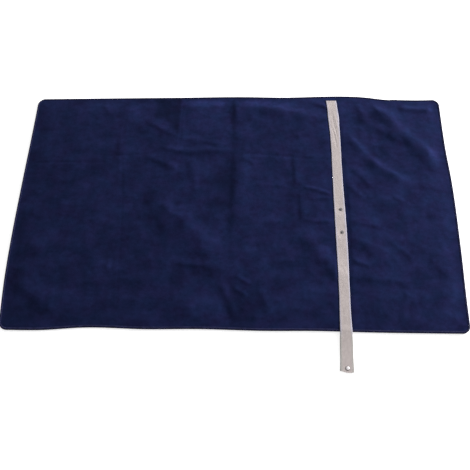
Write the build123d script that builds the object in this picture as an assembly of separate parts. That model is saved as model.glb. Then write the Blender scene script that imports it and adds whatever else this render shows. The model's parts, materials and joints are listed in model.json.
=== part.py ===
from build123d import *

import os

# A flat heated blanket: one padded panel with rounded corners and a bound edge, folded in half at its
# centre line, and one webbing strap with press studs that holds the rolled blanket shut.
# Millimetres, +Z up. The origin is the middle of the panel's underside; +Y is the edge with the inlet.

# Panel
LENGTH = 1500.0
WIDTH = 900.0
CORNER_RADIUS = 26.0
THICKNESS = 9.0

# The panel is two halves hinged at the centre fold.
SPLIT_X = -2.0
SPLIT_GAP = 0.3
FILLING_START_RIGHT = 2.0
FILLING_START_LEFT = -46.0

# Heights of the layers, from the underside up
BOTTOM_COVER_TOP = 1.5
FOIL_TOP = 1.8
WADDING_TOP = 4.0
CARRIER_TOP = 5.0
CHANNEL_TOP = 7.4
GROOVE_FLOOR = 5.3
WIRE_Z = 6.35

# Edge binding, a tape folded round the rim
BINDING_WIDTH = 9.0
BINDING_WALL = 1.0
BINDING_LIP = 0.9
RIM_CLEARANCE = 0.1
FILLING_INSET = 24.0

# Heating wire, one serpentine in each half
WIRE_RADIUS = 0.8
LEAD_RADIUS = 0.7
GROOVE_WIDTH = 2.4
FIRST_RUN_X = 60.0
RUN_PITCH = 42.0
RUN_COUNT = 16
RUN_LOW_Y = -385.0
RUN_HIGH_Y = 365.0
TAIL_END_Y = 391.0
BEND_RADIUS = 6.0

# Leads, splices, thermostats and sensor, in a trough along the inlet edge
TROUGH_LOW_Y = 390.0
TROUGH_HIGH_Y = 415.0
LINK_Y = 400.0
RETURN_Y = 409.0
TROUGH_END_X = 702.0
SPLICE_LENGTH = 9.0
SPLICE_RADIUS = 1.0
THERMOSTAT = (20.0, 7.6, 3.3)
THERMOSTAT_X = 640.0
SENSOR = (8.0, 14.0, 2.0)
SENSOR_Y = 300.0

# Inlet, a flat four-pin socket that opens in the far edge
INLET_X = 585.0
INLET_WIDTH = 24.0
INLET_BACK_Y = 415.0
INLET_WEB = (426.0, 437.0)
INLET_WALL = 0.6
INLET_SIDE = 2.0
PIN_RADIUS = 0.8
PIN_PITCH = 4.2
PIN_COUNT = 4
PIN_TIP_Y = 443.0
PIN_TAIL_Y = 420.0
PIN_FIT = 0.02

# Strap
STRAP_X = 358.5
STRAP_WIDTH = 40.0
STRAP_THICKNESS = 1.6
STRAP_TOP_Y = 437.8
STRAP_DROP = (-454.0, -466.0)
STRAP_DROP_RADIUS = 8.0
STRAP_RISE = (-532.0, -552.0)
STRAP_RISE_RADIUS = 30.0
STRAP_END_Y = (-571.5, -577.5)
STRAP_GAP = 0.3

# Folds of the strap, as it is turned back to close on the lower stud
FOLD_1 = (-290.0, 11.8)
FOLD_2 = (-521.75, 6.1)

# Press studs
STUD_X = 363.0
STUD_Y = {"upper": -13.0, "lower": -100.0}
STUD_FLANGE_RADIUS = 6.25
STUD_FLANGE = 0.6
STUD_NECK_RADIUS = 2.5
STUD_BALL_RADIUS = 3.0
STUD_HEIGHT = 2.5
POST_RADIUS = 1.8
POST_FLANGE_RADIUS = 5.5
POST_FLANGE = 0.6
POST_POCKET = 0.7
STUD_BORE = 1.85

# Snap at the strap's end: cap above the strap, socket and spring ring below it
SNAP_X = 355.5
SNAP_Y = -563.4
CAP_RADIUS = 7.5
CAP_HEIGHT = 1.8
SOCKET_RADIUS = 6.25
SOCKET_HEIGHT = 2.8
SOCKET_CAVITY_RADIUS = 3.3
SOCKET_CAVITY_DEPTH = 2.1
SPRING_RADIUS = 3.95
SPRING_WIRE = 0.3
SPRING_Z = 1.0

STRAP_Z = THICKNESS + STRAP_THICKNESS / 2
SIDES = {"right": 1, "left": -1}
CHANNEL_HEIGHT = CHANNEL_TOP - GROOVE_FLOOR
BIG = 2000.0


def block(low, high):
    """A box between two corners."""
    size = [b - a for a, b in zip(low, high)]
    corner = (Align.MIN, Align.MIN, Align.MIN)
    return Pos(*low) * Box(*size, align=corner)


def disc(x, y, z, radius, height):
    """An upright cylinder standing on height z."""
    return Pos(x, y, z) * Cylinder(radius, height, align=(Align.CENTER, Align.CENTER, Align.MIN))


def slab(inset, low, high):
    """The panel's outline, drawn in by inset, between two heights."""
    outline = RectangleRounded(LENGTH - 2 * inset, WIDTH - 2 * inset, CORNER_RADIUS - inset)
    return Pos(0, 0, low) * extrude(outline, high - low)


def keep(side, start_right, start_left):
    """The space of one half, from its inner end outwards."""
    if side == "right":
        return block((start_right, -BIG, -BIG), (BIG, BIG, BIG))
    return block((-BIG, -BIG, -BIG), (start_left, BIG, BIG))


def half_shell(side):
    return keep(side, SPLIT_X, SPLIT_X - SPLIT_GAP)


def half_filling(side):
    return keep(side, FILLING_START_RIGHT, FILLING_START_LEFT)


def write(name, *solids):
    """One sub-part's STEP file. A group of solids is one node."""
    shape = solids[0] if len(solids) == 1 else Compound(children=list(solids))
    shape.label = name
    export_step(shape, f"parts/{name}.step")


# Covers and binding


def rim_step(low, high):
    """The ring that is cut from a cover's rim to seat the binding's lip."""
    return slab(-BINDING_WALL, low, high) - slab(BINDING_WIDTH + RIM_CLEARANCE, low, high)


def bottom_cover(side):
    cover = slab(BINDING_WALL + RIM_CLEARANCE, 0, BOTTOM_COVER_TOP)
    cover -= rim_step(0, BINDING_LIP)
    return cover & half_shell(side)


def top_cover(side):
    cover = slab(BINDING_WALL + RIM_CLEARANCE, CHANNEL_TOP, THICKNESS)
    cover -= rim_step(THICKNESS - BINDING_LIP, THICKNESS)
    if side == "right":
        for y in STUD_Y.values():
            pocket_radius = POST_FLANGE_RADIUS + RIM_CLEARANCE
            cover -= disc(STUD_X, y, THICKNESS - POST_POCKET, pocket_radius, POST_POCKET)
    return cover & half_shell(side)


def inlet_space(clearance):
    """The inlet housing's outer block, grown sideways and inwards by clearance."""
    half = INLET_WIDTH / 2 + clearance
    low = (INLET_X - half, INLET_BACK_Y - clearance, BOTTOM_COVER_TOP)
    high = (INLET_X + half, WIDTH / 2, CHANNEL_TOP)
    return block(low, high)


def edge_binding(side):
    tape = slab(0, 0, THICKNESS) - slab(BINDING_WIDTH, 0, THICKNESS)
    tape -= slab(BINDING_WALL, BINDING_LIP, THICKNESS - BINDING_LIP)
    if side == "right":
        tape -= inlet_space(RIM_CLEARANCE)
    return tape & half_shell(side)


# Filling


def plain_layer(side, low, high):
    layer = slab(FILLING_INSET, low, high) & half_filling(side)
    if side == "right":
        layer -= inlet_space(RIM_CLEARANCE)
    return layer


def thermostat_block(side, clearance):
    width, depth, height = THERMOSTAT
    centre = SIDES[side] * THERMOSTAT_X
    half = (width / 2 + clearance, depth / 2 + clearance)
    low = (centre - half[0], RETURN_Y - half[1], CARRIER_TOP - 0.95)
    high = (centre + half[0], RETURN_Y + half[1], low[2] + height)
    return block(low, high)


def carrier_felt(side):
    return plain_layer(side, WADDING_TOP, CARRIER_TOP) - thermostat_block(side, 0.4)


def run_x(side, i):
    return SIDES[side] * (FIRST_RUN_X + i * RUN_PITCH)


def groove(side):
    """The serpentine groove for the heating wire: straight runs and half rings at their ends."""
    half = GROOVE_WIDTH / 2
    shape = None
    for i in range(RUN_COUNT):
        x = run_x(side, i)
        last = i in (0, RUN_COUNT - 1)
        high = TROUGH_LOW_Y + 1 if last else RUN_HIGH_Y
        run = block((x - half, RUN_LOW_Y, GROOVE_FLOOR), (x + half, high, CHANNEL_TOP))
        shape = run if shape is None else shape + run
    for i in range(RUN_COUNT - 1):
        middle = (run_x(side, i) + run_x(side, i + 1)) / 2
        at_bottom = i % 2 == 0
        y = RUN_LOW_Y if at_bottom else RUN_HIGH_Y
        ring = disc(middle, y, GROOVE_FLOOR, RUN_PITCH / 2 + half, CHANNEL_HEIGHT)
        ring -= disc(middle, y, GROOVE_FLOOR, RUN_PITCH / 2 - half, CHANNEL_HEIGHT)
        other_y = (y, BIG) if at_bottom else (-BIG, y)
        ring -= block((-BIG, other_y[0], -BIG), (BIG, other_y[1], BIG))
        shape += ring
    return shape


def trough(side):
    """The open trough for the leads along the inlet edge."""
    ends = sorted((0, SIDES[side] * TROUGH_END_X))
    low = (ends[0], TROUGH_LOW_Y, GROOVE_FLOOR)
    return block(low, (ends[1], TROUGH_HIGH_Y, CHANNEL_TOP))


def sensor_block(clearance):
    width, depth, height = SENSOR
    half = (width / 2 + clearance, depth / 2 + clearance)
    low = (INLET_X - half[0], SENSOR_Y - half[1], GROOVE_FLOOR + 0.05 - clearance)
    return block(low, (INLET_X + half[0], SENSOR_Y + half[1], low[2] + height + clearance))


def channel_felt(side):
    felt = plain_layer(side, CARRIER_TOP, CHANNEL_TOP)
    felt -= groove(side) + trough(side)
    felt -= thermostat_block(side, 0.4)
    if side == "right":
        lead_slot_half = PIN_PITCH / 2 + GROOVE_WIDTH / 2
        low = (INLET_X - lead_slot_half, SENSOR_Y, GROOVE_FLOOR)
        felt -= block(low, (INLET_X + lead_slot_half, TROUGH_LOW_Y + 1, CHANNEL_TOP))
        felt -= sensor_block(0.05)
    return felt


# Wires


def wire_along(path, radius):
    """A round wire swept along a path of straight runs and tangent arcs."""
    section = Plane(origin=path @ 0, z_dir=path % 0) * Circle(radius)
    return sweep(section, path=path)


def bent(points, bend=BEND_RADIUS):
    """A flat path at the wires' height whose corners are rounded."""
    return FilletPolyline(*[(x, y, WIRE_Z) for x, y in points], radius=bend)


def straight(start, end, radius):
    path = Line((*start, WIRE_Z), (*end, WIRE_Z))
    return wire_along(path, radius)


def heating_wire(side):
    """One wire from the inner tail, through every run, to the outer tail."""
    parts = []
    for i in range(RUN_COUNT):
        x = run_x(side, i)
        last = i in (0, RUN_COUNT - 1)
        high = TAIL_END_Y if last else RUN_HIGH_Y
        ends = [(x, high, WIRE_Z), (x, RUN_LOW_Y, WIRE_Z)]
        if i % 2:
            ends.reverse()
        parts.append(Line(*ends))
        if i == RUN_COUNT - 1:
            break
        y = RUN_LOW_Y if i % 2 == 0 else RUN_HIGH_Y
        reach = -RUN_PITCH / 2 if i % 2 == 0 else RUN_PITCH / 2
        middle = (x + run_x(side, i + 1)) / 2
        ends = [(x, y, WIRE_Z), (middle, y + reach, WIRE_Z), (run_x(side, i + 1), y, WIRE_Z)]
        parts.append(ThreePointArc(*ends))
    return wire_along(Wire(parts), WIRE_RADIUS)


def splice(side, x):
    """A crimp sleeve over the joint of a lead and a heating-wire tail."""
    path = Line((x, TAIL_END_Y - SPLICE_LENGTH / 2, WIRE_Z), (x, TAIL_END_Y + SPLICE_LENGTH / 2, WIRE_Z))
    return wire_along(path, SPLICE_RADIUS) - wire_along(path, WIRE_RADIUS)


def splice_sleeves(side):
    return [splice(side, run_x(side, i)) for i in (0, RUN_COUNT - 1)]


def pin_x(i):
    return INLET_X + (i - (PIN_COUNT - 1) / 2) * PIN_PITCH


def leads_to_splices(side, inner_end):
    """The link lead over the fold, and the lead from the thermostat to the outer tail."""
    way = SIDES[side]
    inner, outer = run_x(side, 0), run_x(side, RUN_COUNT - 1)
    link = bent([(inner, TAIL_END_Y), (inner, LINK_Y), (inner_end, LINK_Y)], 4.0)
    edge = way * (THERMOSTAT_X + THERMOSTAT[0] / 2)
    feed = bent([(outer, TAIL_END_Y), (outer, RETURN_Y), (edge, RETURN_Y)])
    return [wire_along(link, LEAD_RADIUS), wire_along(feed, LEAD_RADIUS)]


def lead_wires_right():
    leads = leads_to_splices("right", SPLIT_X)
    edge = THERMOSTAT_X - THERMOSTAT[0] / 2
    tail = PIN_TAIL_Y - 0.1
    live = bent([(pin_x(3), tail), (pin_x(3), RETURN_Y), (edge, RETURN_Y)])
    neutral = bent([(pin_x(0), tail), (pin_x(0), RETURN_Y), (SPLIT_X, RETURN_Y)])
    leads += [wire_along(live, LEAD_RADIUS), wire_along(neutral, LEAD_RADIUS)]
    sensor_edge = SENSOR_Y + SENSOR[1] / 2
    for i in (1, 2):
        leads.append(straight((pin_x(i), tail), (pin_x(i), sensor_edge), LEAD_RADIUS))
    return leads


def lead_wires_left():
    inner_end = SPLIT_X - SPLIT_GAP
    leads = leads_to_splices("left", inner_end)
    edge = -(THERMOSTAT_X - THERMOSTAT[0] / 2)
    leads.append(straight((edge, RETURN_Y), (inner_end, RETURN_Y), LEAD_RADIUS))
    return leads


# Inlet


def inlet_housing():
    body = inlet_space(0)
    half = INLET_WIDTH / 2 - INLET_SIDE
    low_z, high_z = BOTTOM_COVER_TOP + INLET_WALL, CHANNEL_TOP - INLET_WALL
    mouth = block((INLET_X - half, INLET_WEB[1], low_z), (INLET_X + half, WIDTH / 2, high_z))
    back = block((INLET_X - half, INLET_BACK_Y, low_z), (INLET_X + half, INLET_WEB[0], CHANNEL_TOP))
    body = body - mouth - back
    for i in range(PIN_COUNT):
        body -= pin_bar(i, PIN_RADIUS + PIN_FIT)
    return body


def pin_bar(i, radius):
    z = (BOTTOM_COVER_TOP + CHANNEL_TOP) / 2
    path = Line((pin_x(i), PIN_TAIL_Y, z), (pin_x(i), PIN_TIP_Y, z))
    return wire_along(path, radius)


def inlet_pins():
    """Round pins, each with a flat solder tab that stands up to the leads' height."""
    pins = []
    z = (BOTTOM_COVER_TOP + CHANNEL_TOP) / 2
    for i in range(PIN_COUNT):
        tip = fillet(pin_bar(i, PIN_RADIUS).edges().sort_by(Axis.Y)[-1], 0.4)
        low = (pin_x(i) - 0.75, PIN_TAIL_Y, z)
        tab = block(low, (pin_x(i) + 0.75, PIN_TAIL_Y + 0.8, CHANNEL_TOP - 0.3))
        pins.append(tip + tab)
    return pins


# Strap


def strap_section(start, direction):
    plane = Plane(origin=start, x_dir=(1, 0, 0), z_dir=direction)
    return plane * Rectangle(STRAP_WIDTH, STRAP_THICKNESS)


def strap_run(points, radius=None):
    """A stretch of the strap, laid along its centreline."""
    path = [(STRAP_X, y, z) for y, z in points]
    line = Line(*path) if radius is None else FilletPolyline(*path, radius=radius)
    return sweep(strap_section(line @ 0, line % 0), path=line)


def strap_sewn():
    strap = strap_run([(STRAP_TOP_Y, STRAP_Z), (FOLD_1[0] + STRAP_GAP / 2, STRAP_Z)])
    for y in STUD_Y.values():
        strap -= disc(STUD_X, y, THICKNESS - 1, STUD_BORE, STRAP_THICKNESS + 2)
    return strap


def strap_free():
    low_z = STRAP_THICKNESS / 2
    points = [
        (FOLD_1[0] - STRAP_GAP / 2, STRAP_Z),
        (STRAP_DROP[0], STRAP_Z),
        (STRAP_DROP[1], low_z),
        (FOLD_2[0] + STRAP_GAP / 2, low_z),
    ]
    return strap_run(points, STRAP_DROP_RADIUS)


def strap_tip():
    """The last stretch, raised over the socket and cut off at a slant."""
    low_z = STRAP_THICKNESS / 2
    high_z = SOCKET_HEIGHT + STRAP_THICKNESS / 2
    points = [
        (FOLD_2[0] - STRAP_GAP / 2, low_z),
        (STRAP_RISE[0], low_z),
        (STRAP_RISE[1], high_z),
        (min(STRAP_END_Y) - 1, high_z),
    ]
    tip = strap_run(points, STRAP_RISE_RADIUS)
    left, right = STRAP_X - STRAP_WIDTH / 2, STRAP_X + STRAP_WIDTH / 2
    beyond = min(STRAP_END_Y) - 50
    offcut = Polyline(
        (left, STRAP_END_Y[0]), (right, STRAP_END_Y[1]), (right, beyond), (left, beyond), close=True
    )
    tip -= extrude(make_face(offcut), THICKNESS)
    return tip - disc(SNAP_X, SNAP_Y, 0, STUD_BORE, THICKNESS)


# Press studs and snap


def turned(profile, x, y):
    """A solid of revolution about an upright axis, from (radius, height) points."""
    outline = Polyline(*[(r, 0, z) for r, z in profile], close=True)
    return Pos(x, y, 0) * revolve(make_face(outline), Axis.Z)


def stud(name):
    """The male half: a flange on the strap and a hollow ball head."""
    base = THICKNESS + STRAP_THICKNESS
    shoulder = base + STUD_FLANGE
    top = base + STUD_HEIGHT
    profile = [
        (STUD_BORE, base),
        (STUD_FLANGE_RADIUS - 0.3, base),
        (STUD_FLANGE_RADIUS, base + 0.2),
        (STUD_FLANGE_RADIUS - 0.4, shoulder - 0.05),
        (STUD_NECK_RADIUS, shoulder),
        (STUD_NECK_RADIUS, shoulder + 0.5),
        (STUD_BALL_RADIUS, shoulder + 1.0),
        (STUD_BALL_RADIUS, shoulder + 1.35),
        (STUD_BALL_RADIUS - 0.5, top),
        (0, top),
        (0, top - 0.4),
        (STUD_BORE, top - 0.4),
    ]
    return turned(profile, STUD_X, STUD_Y[name])


def stud_post(name):
    """The rivet under the strap: its flange lies in the cover, its barrel fills the stud."""
    base = THICKNESS - POST_FLANGE
    top = THICKNESS + STRAP_THICKNESS + STUD_HEIGHT - 0.5
    flange = disc(STUD_X, STUD_Y[name], base, POST_FLANGE_RADIUS, POST_FLANGE)
    return flange + disc(STUD_X, STUD_Y[name], base, POST_RADIUS, top - base)


def snap_cap():
    """The visible cap, a flat dome whose barrel is riveted through the strap."""
    base = SOCKET_HEIGHT + STRAP_THICKNESS
    top = base + CAP_HEIGHT
    profile = [
        (0, base),
        (CAP_RADIUS - 0.4, base),
        (CAP_RADIUS, base + 0.5),
        (CAP_RADIUS - 0.4, base + 1.0),
        (CAP_RADIUS - 1.8, top - 0.25),
        (CAP_RADIUS - 3.6, top),
        (0, top),
    ]
    cap = turned(profile, SNAP_X, SNAP_Y)
    barrel_low = SOCKET_HEIGHT - 0.4
    return cap + disc(SNAP_X, SNAP_Y, barrel_low, POST_RADIUS, base - barrel_low)


def spring_ring(radius):
    ring = Torus(SPRING_RADIUS, radius)
    return Pos(SNAP_X, SNAP_Y, SPRING_Z) * ring


def snap_socket():
    """The female half below the strap, with a groove for its spring ring."""
    profile = [
        (SOCKET_CAVITY_RADIUS, 0),
        (SOCKET_RADIUS - 0.4, 0),
        (SOCKET_RADIUS, 0.4),
        (SOCKET_RADIUS, SOCKET_HEIGHT - 0.6),
        (SOCKET_RADIUS - 0.3, SOCKET_HEIGHT),
        (STUD_BORE, SOCKET_HEIGHT),
        (STUD_BORE, SOCKET_HEIGHT - 0.45),
        (0, SOCKET_HEIGHT - 0.45),
        (0, SOCKET_CAVITY_DEPTH),
        (SOCKET_CAVITY_RADIUS, SOCKET_CAVITY_DEPTH),
    ]
    return turned(profile, SNAP_X, SNAP_Y) - spring_ring(SPRING_WIRE + PIN_FIT)


os.makedirs("parts", exist_ok=True)

for half in SIDES:
    write(f"bottom_cover_{half}", bottom_cover(half))
    write(f"foil_reflector_{half}", plain_layer(half, BOTTOM_COVER_TOP, FOIL_TOP))
    write(f"wadding_{half}", plain_layer(half, FOIL_TOP, WADDING_TOP))
    write(f"carrier_felt_{half}", carrier_felt(half))
    write(f"channel_felt_{half}", channel_felt(half))
    write(f"top_cover_{half}", top_cover(half))
    write(f"edge_binding_{half}", edge_binding(half))
    write(f"heating_wire_{half}", heating_wire(half))
    write(f"splice_sleeves_{half}", *splice_sleeves(half))
    write(f"thermostat_{half}", thermostat_block(half, 0))

write("lead_wires_right", *lead_wires_right())
write("lead_wires_left", *lead_wires_left())
write("temperature_sensor", sensor_block(0))
write("inlet_housing", inlet_housing())
write("inlet_pins", *inlet_pins())

write("strap_sewn", strap_sewn())
write("strap_free", strap_free())
write("strap_tip", strap_tip())
for place in STUD_Y:
    write(f"stud_{place}", stud(place))
    write(f"stud_{place}_post", stud_post(place))
write("snap_cap", snap_cap())
write("snap_socket", snap_socket())
write("snap_spring", spring_ring(SPRING_WIRE))
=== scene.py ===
"""A flat heated blanket: padded navy fleece panel, bound edge, and a webbing strap with press studs."""

import json
import math

import bpy
import numpy as np
from mathutils import Matrix, Vector


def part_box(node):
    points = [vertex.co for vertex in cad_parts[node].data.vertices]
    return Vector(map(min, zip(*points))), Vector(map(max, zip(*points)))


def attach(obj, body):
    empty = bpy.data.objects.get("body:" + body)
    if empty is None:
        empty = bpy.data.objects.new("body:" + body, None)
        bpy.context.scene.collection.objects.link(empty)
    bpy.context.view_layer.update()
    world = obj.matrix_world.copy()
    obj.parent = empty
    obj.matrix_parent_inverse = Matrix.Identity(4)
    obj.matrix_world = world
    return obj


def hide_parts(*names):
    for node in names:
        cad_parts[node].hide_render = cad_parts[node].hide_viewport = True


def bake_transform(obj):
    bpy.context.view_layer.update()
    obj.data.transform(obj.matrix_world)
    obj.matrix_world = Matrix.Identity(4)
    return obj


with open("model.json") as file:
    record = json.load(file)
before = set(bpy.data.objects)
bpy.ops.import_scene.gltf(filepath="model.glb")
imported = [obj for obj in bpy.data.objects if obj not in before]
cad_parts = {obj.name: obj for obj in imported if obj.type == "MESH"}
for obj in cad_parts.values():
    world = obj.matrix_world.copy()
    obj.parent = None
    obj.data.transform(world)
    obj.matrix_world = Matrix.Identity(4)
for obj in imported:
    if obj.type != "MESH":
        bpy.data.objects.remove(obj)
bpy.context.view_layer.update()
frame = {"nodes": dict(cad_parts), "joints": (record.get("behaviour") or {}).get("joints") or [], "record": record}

MM = 0.001


# ---------------------------------------------------------------- sizes, read from the frame


def joint_at(name):
    joint = next(j for j in frame["joints"] if j["name"] == name)
    return joint["pos_m"]


HALF_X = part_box("edge_binding_right")[1][0]
HALF_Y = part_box("edge_binding_right")[1][1]
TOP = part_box("top_cover_right")[1][2]
STRAP_LOW, STRAP_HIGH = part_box("strap_sewn")
STRAP_X = (STRAP_LOW[0] + STRAP_HIGH[0]) / 2
STRAP_THICK = STRAP_HIGH[2] - STRAP_LOW[2]
TIP_LOW, TIP_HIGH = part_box("strap_tip")
INLET_LOW, INLET_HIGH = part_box("inlet_housing")
INLET_X = (INLET_LOW[0] + INLET_HIGH[0]) / 2
STUDS = [[(a + b) / 2 for a, b in zip(*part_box(node))] for node in ("stud_upper", "stud_lower")]
SNAP = [(a + b) / 2 for a, b in zip(*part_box("snap_cap"))]
FOLD_1_Y = joint_at("strap_fold_1")[1]
FOLD_2_Y = joint_at("strap_fold_2")[1]

CORNER = 26 * MM
BINDING_WIDTH = 7.5 * MM
COVER_THICK = 0.9 * MM


# ---------------------------------------------------------------- small maths


def smooth(t):
    t = np.clip(t, 0, 1)
    return t * t * (3 - 2 * t)


def soft_noise(x, y, size, seed):
    """Smooth noise from -1 to 1, with features about size across."""
    lattice = np.random.default_rng(seed).uniform(-1, 1, (1024, 1024))
    u, v = np.asarray(x) / size + 512, np.asarray(y) / size + 512
    i, j = np.floor(u).astype(int), np.floor(v).astype(int)
    s, t = smooth(u - i), smooth(v - j)
    low = lattice[i, j] * (1 - s) + lattice[i + 1, j] * s
    high = lattice[i, j + 1] * (1 - s) + lattice[i + 1, j + 1] * s
    return low * (1 - t) + high * t


def through(points, at):
    """A smooth curve through (position, value) points."""
    where, value = np.array(points, float).T
    slope = np.gradient(value, where)
    at = np.clip(at, where[0], where[-1])
    k = np.clip(np.searchsorted(where, at) - 1, 0, len(where) - 2)
    span = where[k + 1] - where[k]
    t = (at - where[k]) / span
    a = value[k] * (1 + 2 * t) * (1 - t) ** 2 + slope[k] * span * t * (1 - t) ** 2
    b = value[k + 1] * t * t * (3 - 2 * t) + slope[k + 1] * span * t * t * (t - 1)
    return a + b


def curve_through(points, count=24):
    """Evenly numbered places along a smooth curve through a few points."""
    points = np.array(points, float)
    order = np.linspace(0, 1, len(points))
    at = np.linspace(0, 1, count)
    if len(points) == 2:
        return points[0] + np.outer(at, points[1] - points[0])
    columns = [through(list(zip(order, points[:, k])), at) for k in range(2)]
    return np.stack(columns, axis=1)


# ---------------------------------------------------------------- the panel's shape

# Where each edge leaves its straight line: (place along the edge, shift outwards), in metres
FAR_EDGE = [(-0.75, 0), (-0.52, 0.004), (-0.23, 0.008), (0.03, 0.012), (0.15, 0.010), (0.47, 0.012),
            (0.568, 0), (0.602, 0), (0.66, -0.001), (0.75, 0.001)]
NEAR_EDGE = [(-0.75, 0), (-0.62, 0), (-0.47, -0.010), (-0.28, -0.006), (-0.11, -0.008), (0.09, -0.004),
             (0.27, -0.005), (0.42, -0.002), (0.75, 0)]
LEFT_EDGE = [(-0.45, 0.007), (-0.26, 0.015), (-0.13, 0.015), (0.08, 0.010), (0.33, 0.002), (0.45, -0.001)]
RIGHT_EDGE = [(-0.45, 0.002), (-0.35, 0.003), (-0.15, 0.008), (0.13, 0.008), (0.21, 0.004), (0.45, 0.002)]

# Ridges of the top cover: (points of the crest, half-width on its left and right, height), in metres and mm
RIDGES = [
    # right of the strap
    ([(0.510, 0.440), (0.545, 0.372), (0.590, 0.312), (0.645, 0.245), (0.702, 0.188), (0.745, 0.152)],
     (29, 42), 8.6),
    ([(0.590, 0.411), (0.660, 0.407), (0.725, 0.400)], (24, 14), 7.8),
    ([(0.388, 0.292), (0.420, 0.252), (0.455, 0.205), (0.505, 0.152), (0.550, 0.122), (0.640, 0.070)],
     (15, 24), 4.6),
    ([(0.440, 0.372), (0.485, 0.332), (0.540, 0.298), (0.600, 0.258)], (22, 16), 3.2),
    ([(0.500, 0.436), (0.508, 0.410), (0.525, 0.380)], (12, 12), 2.4),
    ([(0.447, 0.436), (0.452, 0.395), (0.475, 0.355)], (14, 12), 2.4),
    ([(0.630, 0.078), (0.680, 0.075), (0.740, 0.062)], (18, 14), 2.0),
    ([(0.385, 0.080), (0.415, 0.050), (0.440, 0.022)], (10, 14), 2.4),
    ([(0.400, 0.150), (0.440, 0.110), (0.475, 0.060)], (16, 11), 1.8),
    ([(0.535, 0.040), (0.595, 0.003)], (7, 8), 0.9),
    ([(0.385, -0.066), (0.440, -0.070), (0.505, -0.085)], (16, 9), 2.4),
    ([(0.385, -0.115), (0.445, -0.150), (0.505, -0.180), (0.545, -0.225)], (14, 30), 3.6),
    ([(0.500, -0.125), (0.560, -0.175), (0.600, -0.215)], (10, 10), 0.9),
    ([(0.385, -0.205), (0.450, -0.225)], (10, 9), 2.2),
    ([(0.385, -0.262), (0.468, -0.272), (0.535, -0.277), (0.595, -0.318)], (20, 12), 2.8),
    ([(0.640, -0.190), (0.672, -0.225), (0.710, -0.275)], (24, 16), 2.0),
    ([(0.565, -0.310), (0.550, -0.355), (0.530, -0.425)], (13, 13), 2.2),
    ([(0.600, -0.405), (0.680, -0.345), (0.740, -0.285)], (20, 20), 2.4),
    ([(0.640, -0.020), (0.700, -0.060), (0.740, -0.110)], (18, 18), 1.8),
    # between the middle and the strap
    ([(-0.010, 0.428), (0.080, 0.412), (0.170, 0.386), (0.250, 0.362), (0.345, 0.336)], (22, 44), 6.0),
    ([(0.262, 0.432), (0.345, 0.396)], (12, 10), 4.6),
    ([(0.205, 0.272), (0.260, 0.290), (0.335, 0.326)], (13, 12), 2.8),
    ([(0.010, 0.192), (0.045, 0.176), (0.070, 0.155)], (18, 9), 1.8),
    ([(0.225, 0.074), (0.280, 0.060), (0.335, 0.038)], (7, 9), 3.0),
    ([(0.250, 0.020), (0.290, 0.027), (0.335, 0.028)], (9, 8), 2.2),
    ([(0.222, 0.060), (0.226, -0.070)], (20, 8), 2.0),
    ([(0.225, -0.058), (0.335, -0.062)], (10, 8), 2.0),
    ([(0.215, -0.115), (0.270, -0.168), (0.330, -0.245), (0.350, -0.280)], (26, 24), 5.6),
    ([(0.120, -0.214), (0.200, -0.203)], (12, 12), 1.8),
    ([(0.000, -0.262), (0.050, -0.295)], (9, 8), 2.0),
    ([(-0.005, -0.305), (0.045, -0.338)], (9, 8), 2.0),
    ([(0.080, -0.300), (0.120, -0.400)], (14, 14), 1.6),
    ([(0.020, 0.079), (0.180, 0.079)], (10, 9), 1.5),
    ([(0.205, 0.205), (0.210, 0.060)], (18, 8), 1.7),
    ([(0.012, 0.215), (0.022, 0.100), (0.015, -0.060)], (20, 50), 2.0),
    ([(-0.004, 0.438), (-0.002, 0.350)], (15, 16), 3.0),
    # left of the middle
    ([(-0.355, 0.352), (-0.290, 0.318), (-0.205, 0.272), (-0.100, 0.250), (-0.020, 0.238)], (14, 10), 1.9),
    ([(-0.290, 0.232), (-0.190, 0.213), (-0.100, 0.215), (0.015, 0.219)], (12, 13), 3.8),
    ([(-0.425, 0.268), (-0.410, 0.215), (-0.418, 0.160)], (18, 12), 1.6),
    ([(-0.335, 0.206), (-0.250, 0.162), (-0.200, 0.140)], (13, 13), 2.8),
    ([(-0.285, 0.070), (-0.274, 0.000)], (24, 14), 1.0),
    ([(-0.280, 0.008), (-0.205, -0.048), (-0.135, -0.118), (-0.050, -0.212)], (36, 60), 6.6),
    ([(-0.205, -0.220), (-0.120, -0.228), (-0.050, -0.224)], (13, 12), 2.6),
    ([(-0.470, -0.255), (-0.435, -0.235), (-0.400, -0.235)], (24, 22), 2.6),
    ([(-0.745, -0.262), (-0.665, -0.315), (-0.600, -0.355), (-0.545, -0.395)], (55, 32), 4.8),
    ([(-0.500, 0.420), (-0.468, 0.370)], (10, 10), 2.0),
    ([(-0.045, -0.285), (-0.020, -0.350), (0.010, -0.425)], (14, 14), 3.0),
    ([(-0.160, 0.190), (-0.140, 0.070)], (22, 20), 2.0),
    ([(-0.700, 0.040), (-0.620, 0.020), (-0.560, -0.010)], (22, 22), 1.6),
    ([(-0.690, -0.140), (-0.640, -0.180)], (20, 20), 1.8),
]

# Old storage folds: (points, half-width, depth of the crease, height of its shoulders)
STORAGE_FOLDS = [
    ([(-0.409, 0.440), (-0.410, 0.225), (-0.386, -0.030), (-0.372, -0.440)], 4.0, 0.6, 0.35),
    ([(-0.205, 0.440), (-0.205, 0.300), (-0.204, 0.230)], 5.0, 0.8, 0.4),
    ([(-0.740, 0.167), (-0.600, 0.170), (-0.445, 0.168)], 5.0, 0.9, 0.8),
    ([(-0.440, 0.195), (-0.290, 0.203)], 6.0, 0.9, 0.9),
    ([(0.020, 0.200), (0.110, 0.198), (0.270, 0.182), (0.335, 0.180)], 6.0, 0.9, 1.2),
]

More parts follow.
